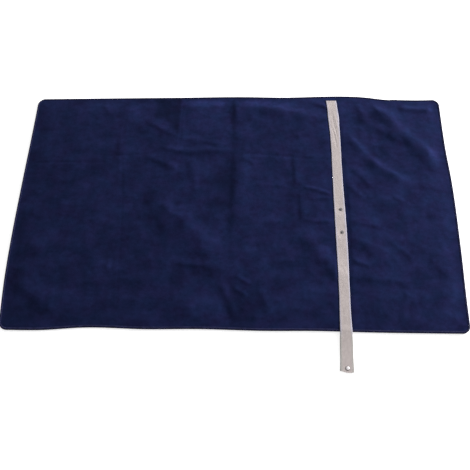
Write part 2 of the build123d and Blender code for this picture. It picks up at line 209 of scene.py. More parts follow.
# Patches where the fleece is made darker or lighter: (centre, reach in x and y, strength)
TONE_PATCHES = [
    ((-0.115, 0.350), (0.090, 0.075), 0.45),
    ((-0.388, 0.380), (0.030, 0.045), 1.0),
    ((-0.432, 0.215), (0.014, 0.045), -0.6),
    ((-0.298, 0.025), (0.024, 0.045), -0.5),
    ((-0.150, 0.130), (0.036, 0.075), 0.35),
    ((-0.190, -0.275), (0.034, 0.048), -0.75),
    ((-0.105, -0.262), (0.065, 0.024), -0.5),
    ((-0.255, -0.370), (0.024, 0.065), 0.3),
    ((-0.135, -0.360), (0.022, 0.055), 0.4),
    ((-0.430, -0.165), (0.036, 0.062), -0.45),
    ((-0.425, -0.300), (0.022, 0.055), 0.3),
    ((-0.042, 0.065), (0.046, 0.115), -1.05),
    ((-0.015, 0.375), (0.016, 0.075), -0.9),
    ((0.030, -0.370), (0.070, 0.070), -0.45),
    ((-0.640, -0.388), (0.075, 0.030), -0.7),
    ((-0.040, -0.390), (0.020, 0.040), 0.4),
    ((0.090, 0.417), (0.120, 0.020), 1.3),
    ((-0.125, 0.420), (0.110, 0.022), 1.4),
    ((0.220, 0.290), (0.030, 0.045), -0.3),
    ((0.190, 0.000), (0.020, 0.180), -0.25),
    ((0.280, -0.080), (0.050, 0.040), 0.25),
    ((0.700, 0.330), (0.040, 0.060), -0.25),
    ((0.560, 0.320), (0.030, 0.040), -0.4),
    ((0.300, -0.175), (0.035, 0.035), 0.8),
    ((0.305, -0.255), (0.032, 0.022), -0.8),
]

LOWEST = -0.7 * MM
CHANNEL_LOWEST = -3.2 * MM
# How deep the channel at the centre fold is, in mm, at places along it
CHANNEL_DEPTH = [(-0.45, 2.0), (-0.35, 2.2), (-0.25, 1.2), (-0.15, 1.0), (-0.07, 2.6), (0.0, 3.4),
                 (0.12, 3.4), (0.20, 1.8), (0.27, 1.4), (0.34, 3.0), (0.40, 4.2), (0.45, 4.2)]
CHANNEL_SIDES = (-0.046, 0.001)
CHANNEL_END_Y = 0.385
LOFT = 2.2 * MM
# The padding starts this far inside the rim, and is full after a further rise
PADDING_STARTS = 8 * MM
PADDING_RISE = 66 * MM
# The cover at the binding's seam, and its small step up beside it
SEAM_HEIGHT = 7.5 * MM
SEAM_LIFT = 0.6 * MM
# The cover's rise over the inlet
INLET_RISE_HALF = 26 * MM
INLET_RISE_FADE = 12 * MM
INLET_RISE_START = 14 * MM
INLET_ROOF = 0.6 * MM

# The way faced by slopes that get painted light; slopes facing away get painted shade
LIGHT_SIDE = (0.87, 0.50)
# The fleece grows lighter towards the far right: strength per metre in x and y
LIGHTER_PER_METRE = (0.76, 0.50)
# A darker patch left of an old fold, and painted shade in strips along the strap
DARKER_PATCH_FOLD_X = -0.206
DARKER_PATCH_LOW_Y = 0.280
STRAP_SHADE_STRIP = 7.5 * MM
STRAP_SHADE_END_Y = 0.447


def beside(points, x, y):
    """How far each place is to the right of a curve, negative on its left, and how far along it, 0 to 1."""
    path = curve_through(points)
    best = np.full(x.shape, np.inf)
    side, along = np.zeros(x.shape), np.zeros(x.shape)
    last = len(path) - 1
    for k in range(last):
        a, d = path[k], path[k + 1] - path[k]
        length = max(float(np.hypot(*d)), 1e-9)
        t = np.clip(((x - a[0]) * d[0] + (y - a[1]) * d[1]) / length**2, 0, 1)
        px, py = x - a[0] - t * d[0], y - a[1] - t * d[1]
        distance = np.hypot(px, py)
        nearer = distance < best
        best = np.where(nearer, distance, best)
        way = np.sign((x - a[0]) * d[1] - (y - a[1]) * d[0])
        side = np.where(nearer, way * distance, side)
        along = np.where(nearer, (k + t) / last, along)
    return side, along


def near(points, x, y, reach):
    """Which places are within reach of a curve's box."""
    points = np.array(points)
    low, high = points.min(0) - reach, points.max(0) + reach
    return (x > low[0]) & (x < high[0]) & (y > low[1]) & (y < high[1])


def ridge_height(points, widths, height, x, y):
    side, along = beside(points, x, y)
    width = np.where(side > 0, widths[1], widths[0]) * MM
    fade = smooth(np.minimum(along, 1 - along) / 0.25 + 0.1)
    wander = 1 + 0.3 * soft_noise(x, y, 0.04, 5)
    return height * MM * fade * wander * np.exp(-((side / width) ** 2))


def fold_height(points, width, depth, shoulder, x, y):
    side, along = beside(points, x, y)
    width = width * MM
    fade = smooth(np.minimum(along, 1 - along) / 0.12) * (0.7 + 0.3 * soft_noise(x, y, 0.06, 9))
    dip = -depth * np.exp(-((side / width) ** 2))
    lift = shoulder * np.exp(-((side / (3.2 * width)) ** 2))
    return MM * fade * (dip * (1 + shoulder) + lift)


def middle_dip(x, y):
    """The unpadded channel at the centre fold, a soft valley."""
    centre = -0.024 + 0.005 * soft_noise(0 * x, y, 0.12, 3)
    reach = np.where(x < centre, 0.040, 0.016)
    valley = np.exp(-(((x - centre) / reach) ** 2))
    depth = through(CHANNEL_DEPTH, y) * (1 + 0.2 * soft_noise(0 * x, y, 0.05, 4))
    return -MM * depth * valley


def inset_of(x, y):
    """How far inside the panel's outline each place is."""
    over_x = np.abs(x) - (HALF_X - CORNER)
    over_y = np.abs(y) - (HALF_Y - CORNER)
    outside = np.hypot(np.maximum(over_x, 0), np.maximum(over_y, 0))
    inside = np.minimum(np.maximum(over_x, over_y), 0)
    return CORNER - outside - inside


def strap_side(y):
    """The strap's centre line, which wanders a little, and its half-width."""
    line = [(-0.585, -0.0055), (-0.545, -0.004), (-0.50, -0.0025), (-0.40, -0.0015), (-0.20, 0.001),
            (0.10, -0.0005), (0.33, -0.0015), (0.38, -0.0035), (0.45, -0.0085)]
    width = [(-0.585, 0.023), (-0.545, 0.0212), (-0.48, 0.021), (-0.44, 0.0195), (-0.1, 0.019),
             (0.34, 0.019), (0.372, 0.020), (0.392, 0.019), (0.45, 0.019)]
    wobble = 0.3 * MM * soft_noise(0 * y, y, 0.03, 21)
    return STRAP_X + through(line, y) + wobble, through(width, y)


def relief(x, y):
    """How far the top cover stands above the flat panel's top."""
    high = LOFT + 1.2 * MM * soft_noise(x, y, 0.21, 1) + 0.9 * MM * soft_noise(x, y, 0.09, 2)
    high = high + 0.55 * MM * soft_noise(x + y, y - x, 0.035, 6) + 0.22 * MM * soft_noise(x, y, 0.014, 7)
    for points, widths, height in RIDGES:
        at = near(points, x, y, 3 * max(widths) * MM)
        high[at] += ridge_height(points, widths, height, x[at], y[at])
    for points, width, depth, shoulder in STORAGE_FOLDS:
        at = near(points, x, y, 10 * width * MM)
        high[at] += fold_height(points, width, depth, shoulder, x[at], y[at])
    high = high + middle_dip(x, y)
    high = high * (1 - 0.5 * strap_cover(x, y))
    for stud in STUDS:
        high = high * smooth((np.hypot(x - stud[0], y - stud[1]) - 0.012) / 0.02)
    in_channel = smooth((x - CHANNEL_SIDES[0]) / 0.008) * smooth((CHANNEL_SIDES[1] - x) / 0.008)
    in_channel = in_channel * smooth((CHANNEL_END_Y - y) / 0.02)
    lowest = LOWEST + (CHANNEL_LOWEST - LOWEST) * in_channel
    inset = inset_of(x, y)
    high = high * smooth((inset - PADDING_STARTS) / PADDING_RISE)
    return np.maximum(high, lowest)


def strap_cover(x, y):
    """1 under the strap, 0 away from it."""
    centre, half = strap_side(y)
    return smooth((half + 0.012 - np.abs(x - centre)) / 0.012)


def pucker(x, y):
    """Short gathers that run in from the binding, strongest round the corners."""
    inset = inset_of(x, y)
    past_x = np.abs(x) - (HALF_X - CORNER)
    past_y = np.abs(y) - (HALF_Y - CORNER)
    angle = np.arctan2(np.maximum(past_y, 0), np.maximum(past_x, 0))
    in_corner = (past_x > 0) & (past_y > 0)
    along = np.where(in_corner, angle * CORNER, x * (past_y > 0) + y)
    wave = soft_noise(along, 0 * along, 0.007, 31)
    strength = np.where(in_corner, 0.7, 0.22) * MM
    return strength * wave * smooth((34 * MM - inset) / (24 * MM))


def panel_top(x, y):
    """Height of the top cover's outer face. It dips to the binding's seam."""
    inset = inset_of(x, y)
    seam = smooth((inset - BINDING_WIDTH) / (6 * MM))
    crown = smooth((inset - 10 * MM) / (40 * MM))
    height = SEAM_HEIGHT + SEAM_LIFT * seam + (TOP - SEAM_HEIGHT - SEAM_LIFT) * crown + relief(x, y)
    keep_clear = smooth((inset - BINDING_WIDTH) / (3 * MM))
    height = height + pucker(x, y) * (1 - 0.5 * keep_clear)
    over_inlet = smooth((INLET_RISE_HALF - np.abs(x - INLET_X)) / INLET_RISE_FADE)
    over_inlet = over_inlet * smooth((y - INLET_LOW[1] + INLET_RISE_START) / INLET_RISE_FADE)
    return height + np.maximum(INLET_HIGH[2] + INLET_ROOF - height, 0) * over_inlet


def darker_patch(x, y):
    """A darker patch that ends at an old fold on its right."""
    from_fold = DARKER_PATCH_FOLD_X - x
    ragged = 0.02 * soft_noise(x, y, 0.03, 64)
    below = smooth((y - DARKER_PATCH_LOW_Y - 0.75 * from_fold + ragged) / 0.035)
    return smooth(from_fold / 0.007) * smooth((0.125 - from_fold + ragged) / 0.05) * below


def shade_beside_strap(x, y):
    """Painted shade in the two narrow strips along the strap's sides."""
    u, v, _ = placed(x, y, 0 * x).T
    centre, half = strap_side(v)
    gap = np.abs(u - centre) - half
    strength = 0.7 + 0.3 * soft_noise(0 * v, v, 0.05, 65)
    return strength * smooth((gap + 0.004) / 0.003) * smooth((STRAP_SHADE_STRIP - gap) / 0.005) * (v < STRAP_SHADE_END_Y)


def brushed(x, y):
    """How light the fleece is: painted light and shade by slope and at the side rims, lighter towards the far
    right, patches, a darker patch, painted shade beside the strap, and random tone.
    """
    step = 2 * MM
    # Painted light and shade: slopes that face LIGHT_SIDE are made lighter, slopes that face away darker.
    rise = (panel_top(x + step, y) - panel_top(x - step, y)) * LIGHT_SIDE[0]
    rise = rise + (panel_top(x, y + step) - panel_top(x, y - step)) * LIGHT_SIDE[1]
    nap_and_shade = -1.7 * np.clip(rise / (2 * step), -0.4, 0.4) * smooth((inset_of(x, y) - 14 * MM) / (16 * MM))
    nap_and_shade = nap_and_shade + LIGHTER_PER_METRE[0] * x + LIGHTER_PER_METRE[1] * y
    # Painted light along the left rim and painted shade along the right rim, set against the shading of the rim's
    # slopes.
    painted_light_left_rim, painted_shade_right_rim = [smooth((20 * MM - HALF_X - way * x) / (14 * MM)) for way in (1, -1)]
    nap_and_shade = nap_and_shade + 0.6 * painted_light_left_rim - 0.35 * painted_shade_right_rim
    for (cx, cy), (rx, ry), strength in TONE_PATCHES:
        ragged = 1 + 0.35 * soft_noise(x, y, 0.03, 61)
        away = np.hypot((x - cx) / rx, (y - cy) / ry) / ragged
        nap_and_shade = nap_and_shade + strength * (1 - smooth((away - 0.35) / 0.9))
    # Takes off the darker patch by the old fold and the painted shade beside the strap.
    nap_and_shade = nap_and_shade - 1.5 * darker_patch(x, y) - 1.5 * shade_beside_strap(x, y)
    return nap_and_shade + 0.35 * soft_noise(x, y, 0.05, 62) + 0.25 * soft_noise(x, 0.5 * y, 0.02, 63)


def panel_bottom(x, y):
    """Height of the bottom cover's outer face, which lies on the floor."""
    inset = inset_of(x, y)
    seam = 1 - smooth((inset - 10 * MM) / (14 * MM))
    rest = 0.25 * MM * (1 + soft_noise(x, y, 0.12, 11)) * smooth((inset - 10 * MM) / (60 * MM))
    return 1.2 * MM * seam + rest


def sway(x, y):
    """The soft panel's edges aren't straight: the shift of each place in plan."""
    across = smooth((y / HALF_Y + 1) / 2)
    along = smooth((x / HALF_X + 1) / 2)
    dy = through(FAR_EDGE, x) * across**3 - through(NEAR_EDGE, x) * (1 - across) ** 3
    dx = through(RIGHT_EDGE, y) * along**3 - through(LEFT_EDGE, y) * (1 - along) ** 3
    return dx, dy


def before_sway(x, y):
    """The place in the flat panel that lies at each place in plan."""
    dx, dy = sway(x, y)
    dx, dy = sway(x - dx, y - dy)
    return x - dx, y - dy


def placed(x, y, z):
    dx, dy = sway(x, y)
    return np.stack([x + dx, y + dy, z], axis=-1)


# ---------------------------------------------------------------- mesh helpers


def mesh_piece(name, points, faces, uv=None):
    mesh = bpy.data.meshes.new(name)
    mesh.from_pydata([tuple(p) for p in np.asarray(points, float)], [], [list(map(int, f)) for f in faces])
    if uv is not None:
        layer = mesh.uv_layers.new(name="rest")
        corners = np.zeros(len(mesh.loops), np.int32)
        mesh.loops.foreach_get("vertex_index", corners)
        layer.data.foreach_set("uv", np.asarray(uv, np.float32)[corners].ravel())
    mesh.polygons.foreach_set("use_smooth", [True] * len(mesh.polygons))
    mesh.update()
    piece = bpy.data.objects.new(name, mesh)
    bpy.context.scene.collection.objects.link(piece)
    return piece


def dress(piece, material):
    piece.data.materials.clear()
    piece.data.materials.append(material)


def rounded_grid(inset, x_lines, y_lines):
    """A grid over the panel's outline, whose square corners are drawn in to round ones."""
    half_x, half_y, radius = HALF_X - inset, HALF_Y - inset, CORNER - inset
    x, y = np.meshgrid(np.array(x_lines) * half_x, np.array(y_lines) * half_y, indexing="ij")
    over_x = np.maximum(np.abs(x) - (half_x - radius), 0)
    over_y = np.maximum(np.abs(y) - (half_y - radius), 0)
    longest = np.maximum(over_x, over_y)
    scale = np.where(longest > 0, longest / np.maximum(np.hypot(over_x, over_y), 1e-12), 1)
    x = np.sign(x) * (np.minimum(np.abs(x), half_x - radius) + over_x * scale)
    y = np.sign(y) * (np.minimum(np.abs(y), half_y - radius) + over_y * scale)
    return x, y


def quads(rows, columns, start=0):
    i, j = np.meshgrid(np.arange(rows - 1), np.arange(columns - 1), indexing="ij")
    a = start + i * columns + j
    return np.stack([a, a + columns, a + columns + 1, a + 1], axis=-1).reshape(-1, 4)


def border(rows, columns, start=0):
    """The numbers of a grid's outer vertices, once round."""
    low = [(i, 0) for i in range(rows - 1)] + [(rows - 1, j) for j in range(columns - 1)]
    high = [(i, columns - 1) for i in range(rows - 1, 0, -1)] + [(0, j) for j in range(columns - 1, 0, -1)]
    return [start + i * columns + j for i, j in low + high]


def cover_shell(name, x_lines, y_lines, outer, facing):
    """A cover with two faces. The inner face has half as many lines each way."""
    inset = 3 * MM
    x, y = rounded_grid(inset, x_lines, y_lines)
    z = outer(x.ravel(), y.ravel()).reshape(x.shape)
    outside = placed(x, y, z).reshape(-1, 3)
    inside = placed(x, y, z - facing * COVER_THICK)[::2, ::2]
    rows, columns = x.shape
    inner_rows, inner_columns = inside.shape[:2]
    start = rows * columns
    outer_faces, inner_faces = quads(rows, columns), quads(inner_rows, inner_columns, start)
    fine, coarse = border(rows, columns), border(inner_rows, inner_columns, start)
    rim = []
    for k in range(len(coarse)):
        here, there = coarse[k], coarse[(k + 1) % len(coarse)]
        rim.append([fine[2 * k], here, there, fine[(2 * k + 2) % len(fine)], fine[2 * k + 1]])
    if facing > 0:
        faces = [list(f) for f in outer_faces] + [list(f[::-1]) for f in inner_faces] + rim
    else:
        faces = [list(f[::-1]) for f in outer_faces] + [list(f) for f in inner_faces] + [f[::-1] for f in rim]
    points = np.concatenate([outside, inside.reshape(-1, 3)])
    plan = np.stack([x, y], axis=-1)
    uv = np.concatenate([plan.reshape(-1, 2), plan[::2, ::2].reshape(-1, 2)])
    piece = mesh_piece(name, points, faces, uv)
    if facing > 0:
        # This attribute holds painted light and shade as well as random tone of the fleece.
        nap_and_shade = np.zeros(len(points), np.float32)
        nap_and_shade[:start] = brushed(x.ravel(), y.ravel())
        piece.data.attributes.new("nap_and_shade", "FLOAT", "POINT").data.foreach_set("value", nap_and_shade)
    return piece


def outline(count_straight_x, count_straight_y, count_corner):
    """Places once round the panel's rim, each with the direction straight inwards."""
    centres = [(1, -1), (1, 1), (-1, 1), (-1, -1)]
    places, inward = [], []
    for k, (sx, sy) in enumerate(centres):
        centre = np.array([sx * (HALF_X - CORNER), sy * (HALF_Y - CORNER)])
        first = -math.pi / 2 + k * math.pi / 2
        for t in np.linspace(0, 1, count_corner):
            a = first + t * math.pi / 2
            out = np.array([math.cos(a), math.sin(a)])
            places.append(centre + CORNER * out)
            inward.append(-out)
        following = centres[(k + 1) % 4]
        end = np.array([following[0] * (HALF_X - CORNER), following[1] * (HALF_Y - CORNER)])
        a = first + math.pi / 2
        out = np.array([math.cos(a), math.sin(a)])
        count = count_straight_y if k % 2 == 0 else count_straight_x
        stops = np.linspace(0, 1, count + 1)[1:-1]
        for t in stops:
            places.append(centre + t * (end - centre) + CORNER * out)
            inward.append(-out)
    return np.array(places), np.array(inward)


# ---------------------------------------------------------------- materials


class Nodes:
    """A material's node tree, with short calls for the nodes that these materials share."""

    def __init__(self, name):
        self.material = bpy.data.materials.new(name)
        self.material.use_nodes = True
        self.tree = self.material.node_tree
        self.shader = self.tree.nodes["Principled BSDF"]

    def add(self, kind, **values):
        node = self.tree.nodes.new(kind)
        for key, value in values.items():
            setattr(node, key, value)
        return node

    def link(self, a, b):
        self.tree.links.new(a, b)

    def set(self, **values):
        for key, value in values.items():
            self.shader.inputs[key.replace("_", " ")].default_value = value

    def place(self, scale=(1, 1, 1), turn=0.0, uv=True):
        """Coordinates in metres: the piece's rest plan where it has one, otherwise its own space."""
        source = self.add("ShaderNodeTexCoord").outputs["Object"]
        if uv:
            source = self.add("ShaderNodeUVMap", uv_map="rest").outputs["UV"]
        mapping = self.add("ShaderNodeMapping")
        mapping.inputs["Scale"].default_value = scale
        mapping.inputs["Rotation"].default_value = (0, 0, turn)
        self.link(source, mapping.inputs["Vector"])
        return mapping.outputs["Vector"]

    def noise(self, where, size, detail, rough):
        node = self.add("ShaderNodeTexNoise")
        node.inputs["Scale"].default_value = 1 / size
        node.inputs["Detail"].default_value = detail
        node.inputs["Roughness"].default_value = rough
        self.link(where, node.inputs["Vector"])
        return node.outputs["Fac"]

    def spread(self, value, low, high, to_low=0.0, to_high=1.0):
        node = self.add("ShaderNodeMapRange")
        node.inputs["From Min"].default_value = low
        node.inputs["From Max"].default_value = high
        node.inputs["To Min"].default_value = to_low
        node.inputs["To Max"].default_value = to_high
        self.link(value, node.inputs["Value"])
        return node.outputs["Result"]

    def math(self, operation, a, b):
        node = self.add("ShaderNodeMath", operation=operation)
        for socket, value in zip(node.inputs, (a, b)):
            if isinstance(value, (int, float)):
                socket.default_value = value
            else:
                self.link(value, socket)
        return node.outputs["Value"]

    def mix(self, share, a, b):
        node = self.add("ShaderNodeMix", data_type="RGBA")
        for socket, value in zip((node.inputs[0], node.inputs[6], node.inputs[7]), (share, a, b)):
            if isinstance(value, tuple):
                socket.default_value = (*value, 1) if len(value) == 3 else value
            elif isinstance(value, (int, float)):
                socket.default_value = value
            else:
                self.link(value, socket)
        return node.outputs[2]

    def scaled(self, colour, gain):
        node = self.add("ShaderNodeVectorMath", operation="SCALE")
        self.link(colour, node.inputs[0])
        self.link(gain, node.inputs["Scale"])
        return node.outputs["Vector"]

    def colour(self, value):
        self.link(value, self.shader.inputs["Base Color"])

    def roughness(self, value):
        self.link(value, self.shader.inputs["Roughness"])

    def bump(self, height, distance, strength):
        node = self.add("ShaderNodeBump")
        node.inputs["Strength"].default_value = strength
        node.inputs["Distance"].default_value = distance
        self.link(height, node.inputs["Height"])
        self.link(node.outputs["Normal"], self.shader.inputs["Normal"])


def srgb(*values):
    """A colour from 0 to 255 as the shader's linear numbers."""
    parts = [v / 255 for v in values]
    return tuple(p / 12.92 if p <= 0.04045 else ((p + 0.055) / 1.055) ** 2.4 for p in parts)


def fleece(name, dark, light):
    """Short brushed pile: mottled where the pile lies over, with fine fibres and a soft sheen. Its colour is also
    scaled by an attribute that holds painted light and shade with random tone.
    """
    n = Nodes(name)
    where = n.place()
    slanted = n.place(scale=(1, 2.2, 1), turn=0.6)
    patches = n.noise(slanted, 0.11, 3, 0.6)
    brushed = n.noise(where, 0.016, 4, 0.65)
    fibres = n.noise(where, 0.0022, 4, 0.7)
    mottle = n.math("ADD", n.math("MULTIPLY", patches, 0.45), n.math("MULTIPLY", brushed, 0.35))
    mottle = n.math("ADD", mottle, n.math("MULTIPLY", fibres, 0.2))
    share = n.spread(mottle, 0.36, 0.64)
    base = n.mix(share, dark, light)
    hue = n.spread(n.noise(where, 0.05, 2, 0.5), 0.35, 0.65)
    tinted = n.mix(0.25, base, n.mix(hue, srgb(15, 28, 57), srgb(29, 24, 60)))
    # This attribute holds painted light and shade as well as random tone; it scales the colour.
    nap_and_shade = n.add("ShaderNodeAttribute", attribute_name="nap_and_shade").outputs["Fac"]
    gain = n.math("POWER", 2.0, n.math("MULTIPLY", nap_and_shade, 0.55))
    n.colour(n.scaled(tinted, gain))
    n.roughness(n.spread(brushed, 0.3, 0.7, 0.86, 1.0))
    height = n.math("ADD", n.math("MULTIPLY", brushed, 0.55), n.math("MULTIPLY", fibres, 0.45))
    n.bump(height, 1.6 * MM, 0.55)
    n.set(Sheen_Weight=0.05, Sheen_Roughness=0.5, Sheen_Tint=(0.3, 0.42, 1.0, 1), Specular_IOR_Level=0.02)
    return n.material


def tape(name, dark, light):
    """Plain woven binding tape: fine ribs across it."""
    n = Nodes(name)
    where = n.place(uv=False)
    weave = n.add("ShaderNodeTexVoronoi", feature="F1")
    weave.inputs["Scale"].default_value = 1 / (0.9 * MM)
    n.link(where, weave.inputs["Vector"])
    wear = n.noise(where, 0.012, 3, 0.6)
    share = n.spread(wear, 0.35, 0.7)
    n.colour(n.mix(share, dark, light))
    n.roughness(n.spread(wear, 0.3, 0.7, 0.7, 0.9))
    n.bump(weave.outputs["Distance"], 0.25 * MM, 0.6)
    n.set(Sheen_Weight=0.02, Specular_IOR_Level=0.05)
    return n.material


SELVEDGE = (12.5 * MM, 16.5 * MM)
LEAVES_PANEL_Y = (-0.465, -0.44)


def webbing(name):
    """Grey cotton webbing: fine ribs along it, paler selvedges, and a little soiling."""
    n = Nodes(name)
    uv = n.add("ShaderNodeUVMap", uv_map="rest").outputs["UV"]
    parts = n.add("ShaderNodeSeparateXYZ")
    n.link(uv, parts.inputs["Vector"])
    across = n.math("ABSOLUTE", parts.outputs["X"], 0)
    selvedge = n.spread(across, *SELVEDGE)
    along = parts.outputs["Y"]
    on_panel = n.spread(along, *LEAVES_PANEL_Y)
    ribs = n.add("ShaderNodeTexWave", wave_type="BANDS", bands_direction="X")
    ribs.inputs["Scale"].default_value = 1 / (2 * math.pi * 0.35 * MM)
    ribs.inputs["Distortion"].default_value = 0.6
    n.link(uv, ribs.inputs["Vector"])
    picks = n.add("ShaderNodeTexWave", wave_type="BANDS", bands_direction="Y")
    picks.inputs["Scale"].default_value = 1 / (2 * math.pi * 0.28 * MM)
    picks.inputs["Distortion"].default_value = 0.4
    n.link(uv, picks.inputs["Vector"])
    stain = n.noise(n.place(scale=(2.5, 1, 1)), 0.02, 3, 0.6)
    body = n.mix(n.spread(stain, 0.35, 0.65), srgb(158, 148, 147), srgb(168, 159, 157))
    edge = n.mix(on_panel, srgb(156, 152, 149), srgb(161, 157, 170))
    shade = n.mix(selvedge, body, edge)
    weave = n.math("MULTIPLY", ribs.outputs["Fac"], picks.outputs["Fac"])
    n.colour(n.mix(n.math("MULTIPLY", weave, 0.18), shade, srgb(122, 115, 114)))
    n.roughness(n.spread(stain, 0.3, 0.7, 0.75, 0.9))
    n.bump(weave, 0.22 * MM, 0.7)
    n.set(Sheen_Weight=0.1, IOR=1.35)
    return n.material


def thread(name, colour):
    n = Nodes(name)
    where = n.place(uv=False)
    twist = n.noise(where, 0.0006, 2, 0.5)
    n.colour(n.mix(twist, tuple(0.75 * c for c in colour), colour))
    n.roughness(n.spread(twist, 0.3, 0.7, 0.55, 0.75))
    n.bump(twist, 0.1 * MM, 0.5)
    return n.material


def metal(name, colour, rough):
    """Plated metal with faint brushing and small scuffs."""
    n = Nodes(name)
    where = n.place(uv=False)
    scuff = n.noise(where, 0.0015, 4, 0.65)
    n.colour(n.mix(n.spread(scuff, 0.4, 0.75), colour, tuple(0.72 * c for c in colour)))
    n.roughness(n.spread(scuff, 0.3, 0.75, rough * 0.8, rough * 1.5))
    n.bump(scuff, 0.03 * MM, 0.4)
    n.set(Metallic=1.0)
    return n.material


def moulded(name, colour, rough):
    """Moulded plastic or rubber with a fine spark texture."""
    n = Nodes(name)
    where = n.place(uv=False)
    grain = n.noise(where, 0.0008, 3, 0.6)
    n.colour(n.mix(n.spread(grain, 0.35, 0.7), colour, tuple(min(1.0, 1.35 * c) for c in colour)))
    n.roughness(n.spread(grain, 0.3, 0.7, rough * 0.85, rough * 1.15))
    n.bump(grain, 0.05 * MM, 0.4)
    return n.material


def felted(name, dark, light, size):
    """Needled felt or wadding: matted fibres."""
    n = Nodes(name)
    where = n.place(uv=False)
    fibres = n.noise(where, size, 6, 0.75)
    n.colour(n.mix(n.spread(fibres, 0.35, 0.68), dark, light))
    n.roughness(n.spread(fibres, 0.3, 0.7, 0.85, 1.0))
    n.bump(fibres, size / 3, 0.8)
    n.set(Sheen_Weight=0.15)
    return n.material


FLEECE_TOP = fleece("fleece_top", srgb(8, 11, 33), srgb(23, 30, 62))
FLEECE_UNDER = fleece("fleece_under", srgb(8, 12, 40), srgb(20, 27, 64))
TAPE = tape("binding_tape", srgb(17, 18, 42), srgb(31, 32, 61))
STRAP = webbing("strap_webbing")
BINDING_THREAD = thread("binding_thread", srgb(46, 51, 96))
NICKEL = metal("nickel", srgb(226, 226, 230), 0.28)
SNAP_FINISH = metal("snap_finish", srgb(214, 209, 211), 0.58)
# A darkened copy of the nickel: painted shade on the snap's rim, and on the studs a painted dark reflection.
SHADED_NICKEL = metal("shaded_nickel", srgb(128, 124, 124), 0.5)

CAD_LOOKS = {
    "navy_fleece": FLEECE_UNDER,
    "binding_tape": TAPE,
    "strap_webbing": STRAP,
    "felt": felted("felt", srgb(168, 165, 156), srgb(206, 203, 194), 0.0025),
    "wadding": felted("wadding", srgb(214, 214, 210), srgb(244, 244, 240), 0.006),
    "foil": metal("foil", srgb(222, 224, 228), 0.22),
    "silicone_wire": moulded("silicone_wire", srgb(150, 44, 36), 0.45),
    "lead_insulation": moulded("lead_insulation", srgb(44, 44, 46), 0.5),
    "crimp_brass": metal("crimp_brass", srgb(206, 176, 112), 0.3),
    "device_case": moulded("device_case", srgb(52, 50, 50), 0.45),
    "inlet_plastic": moulded("inlet_plastic", srgb(30, 30, 33), 0.5),
    "snap_metal": NICKEL,
    "spring_wire": metal("spring_wire", srgb(190, 190, 192), 0.3),
}


def dress_cad_nodes():
    for part in frame["record"]["subparts"]:
        node = frame["nodes"][part["node"]]
        material = CAD_LOOKS[part["material_slot"]]
        # The studs get the darkened nickel: a painted dark reflection.
        if part["node"].startswith("stud_"):
            material = SHADED_NICKEL
        node.data.materials.clear()
        node.data.materials.append(material)


# ---------------------------------------------------------------- covers


def lines(fine_from, fine, coarse):
    """Even numbers of grid lines from -1 to 1, closer together past fine_from."""
    left = 2 * round((1 + fine_from) / coarse / 2)
    right = 2 * round((1 - fine_from) / fine / 2)
    return np.concatenate([np.linspace(-1, fine_from, left + 1)[:-1], np.linspace(fine_from, 1, right + 1)])


def make_covers():
    x_lines = lines(0.02, 3.5 * MM / HALF_X, 5.0 * MM / HALF_X)
    y_lines = np.linspace(-1, 1, 217)
    top = cover_shell("top_cover", x_lines, y_lines, panel_top, 1)
    dress(top, FLEECE_TOP)
    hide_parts("top_cover_right", "top_cover_left")
    bottom = cover_shell("bottom_cover", np.linspace(-1, 1, 189), np.linspace(-1, 1, 113), panel_bottom, -1)
    dress(bottom, FLEECE_UNDER)
    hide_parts("bottom_cover_right", "bottom_cover_left")
    for cover in (top, bottom):
        over_fold(cover)


def over_fold(piece):
    """Bakes the piece's placement into its mesh."""
    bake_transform(piece)


# ---------------------------------------------------------------- binding


TAPE_THICK = 0.8 * MM
BINDING_MIDDLE_Z = 4.3 * MM
RING_PITCH = 6 * MM


def binding_profile(count=9):
    """The tape's section, once round: (inset, height) of the outer skin and then the inner one."""
    centre_inset, centre_z, reach_z = 0.52 * BINDING_WIDTH, 4.35 * MM, 4.25 * MM
    skins = []
    for grow in (0.0, TAPE_THICK):
        tail = [(BINDING_WIDTH, 0.7 * MM), (0.5 * (BINDING_WIDTH + centre_inset), 0.2 * MM)]
        top = [(inset, centre_z + reach_z - drop - grow) for inset, drop in tail]
        arc = []
        for a in np.linspace(math.pi / 2, 3 * math.pi / 2, count):
            inset = centre_inset + (centre_inset - grow) * math.cos(a)
            arc.append((inset, centre_z + (reach_z - grow) * math.sin(a)))
        low = [(inset, centre_z - reach_z + drop + grow) for inset, drop in tail[::-1]]
        skins.append(top + arc + low)
    return skins[0] + skins[1][::-1]


def window_sides():
    """The inlet's two sides, with a little room, where they are in the flat panel."""
    shift = sway(INLET_X, HALF_Y)[0]
    return INLET_LOW[0] - 0.3 * MM - shift, INLET_HIGH[0] + 0.3 * MM - shift


def inlet_window(x, y):
    """True where a place on the rim is in front of the inlet."""
    low, high = window_sides()
    return (y > 0) & (x > low) & (x < high)


